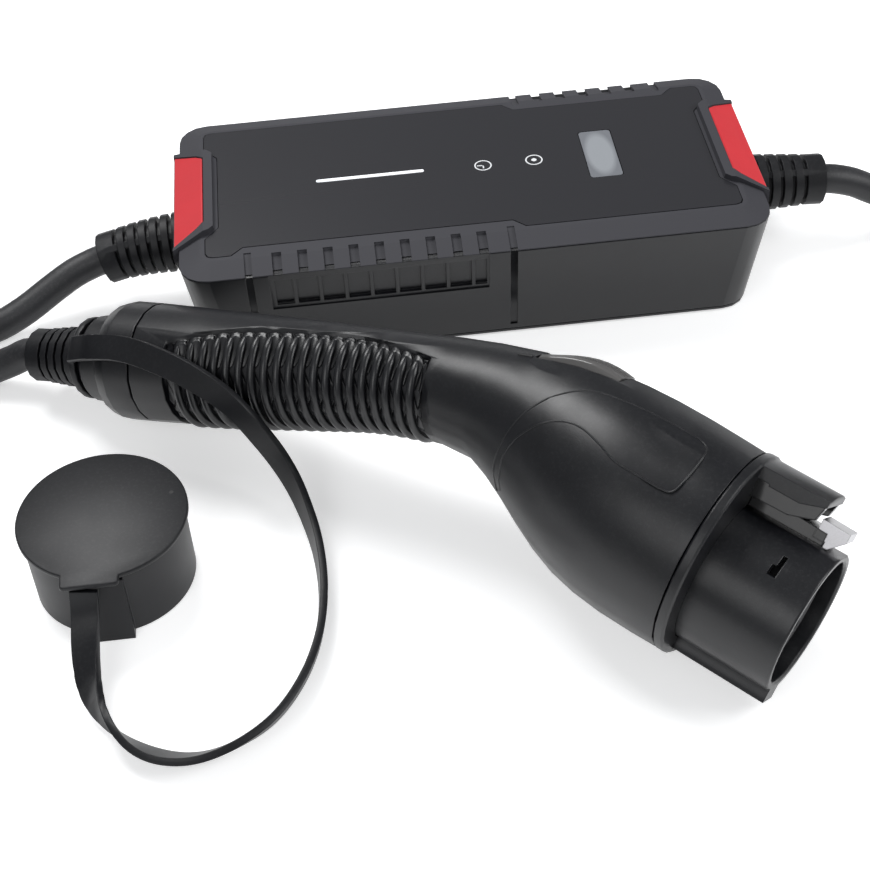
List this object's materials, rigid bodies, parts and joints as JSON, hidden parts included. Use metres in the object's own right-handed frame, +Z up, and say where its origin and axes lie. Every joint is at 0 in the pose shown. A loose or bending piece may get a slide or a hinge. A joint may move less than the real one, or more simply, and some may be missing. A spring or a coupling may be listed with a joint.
{
  "type": "portable electric car charger",
  "caption": "In-line control box with a display panel, a ribbed pistol-grip charging connector with a thumb latch, a tethered dust cap, a coiled lead and a mains plug.",
  "frame": {"origin": "centre of the control box's flat underside, on the surface that the charger lies on", "axes": "+X along the control box from the lead's gland to the mains gland, +Y from the near side to the far side, +Z up out of the display panel"},
  "size_m": [0.6675, 0.2717, 0.0681],
  "materials": {
    "black_plastic": "fine satin, slightly grained",
    "cover_plastic": "smooth satin",
    "panel_plastic": "smooth, half gloss",
    "red_plastic": "satin",
    "rubber": "soft satin",
    "window_plastic": "gloss display window",
    "light_plastic": "milky diffuser",
    "board_green": "circuit board lacquer",
    "relay_blue": "moulded casing",
    "steel": "brushed",
    "brass": "turned"
  },
  "bodies": {
    "charger": {"lower_housing": "black_plastic", "base_cover": "black_plastic", "top_cover": "cover_plastic", "front_panel": "panel_plastic", "end_trim_left": "red_plastic", "end_trim_right": "red_plastic", "housing_seal": "rubber", "display_window": "window_plastic", "light_bar": "light_plastic", "display_module": "board_green", "circuit_board": "board_green", "terminal_block": "board_green", "relay_1": "relay_blue", "relay_2": "relay_blue", "power_module": "black_plastic", "current_sensor": "black_plastic", "cover_screw_1": "steel", "cover_screw_2": "steel", "cover_screw_3": "steel", "cover_screw_4": "steel", "lead_strain_relief": "rubber", "mains_strain_relief": "rubber", "handle_shell_left": "black_plastic", "handle_shell_right": "black_plastic", "handle_end_cap": "black_plastic", "grip_pad": "rubber", "collar_ring": "black_plastic", "connector_sleeve": "black_plastic", "contact_block": "black_plastic", "contact_live": "brass", "contact_neutral": "brass", "contact_earth": "brass", "contact_proximity": "brass", "contact_pilot": "brass", "latch_pin": "steel", "latch_switch": "black_plastic", "cable_clamp": "steel", "cable_nut": "black_plastic", "connector_strain_relief": "rubber", "cap_body": "rubber", "cap_lid": "rubber", "cap_strap": "rubber", "lead_tube_box_end": "rubber", "lead_coil": "rubber", "lead_tube_gun_end": "rubber", "mains_tube": "rubber", "mains_coil": "rubber", "mains_tail": "rubber", "plug_strain_relief": "rubber", "plug_body": "black_plastic", "plug_fuse_carrier": "red_plastic", "plug_pin_live": "brass", "plug_pin_neutral": "brass", "plug_pin_earth": "brass"},
    "latch": {"thumb_button": "black_plastic", "latch_lever": "panel_plastic", "latch_hook": "steel"}
  },
  "joints": [
    {"name": "latch_press", "type": "hinge", "parent": "charger", "child": "latch", "pos_m": [0.04502, -0.1613, 0.05046], "axis": [-0.4782, -0.621, 0.621], "range_deg": [0, 3.6], "stiffness_Nm_per_rad": 3, "springref_deg": -2.29}
  ]
}
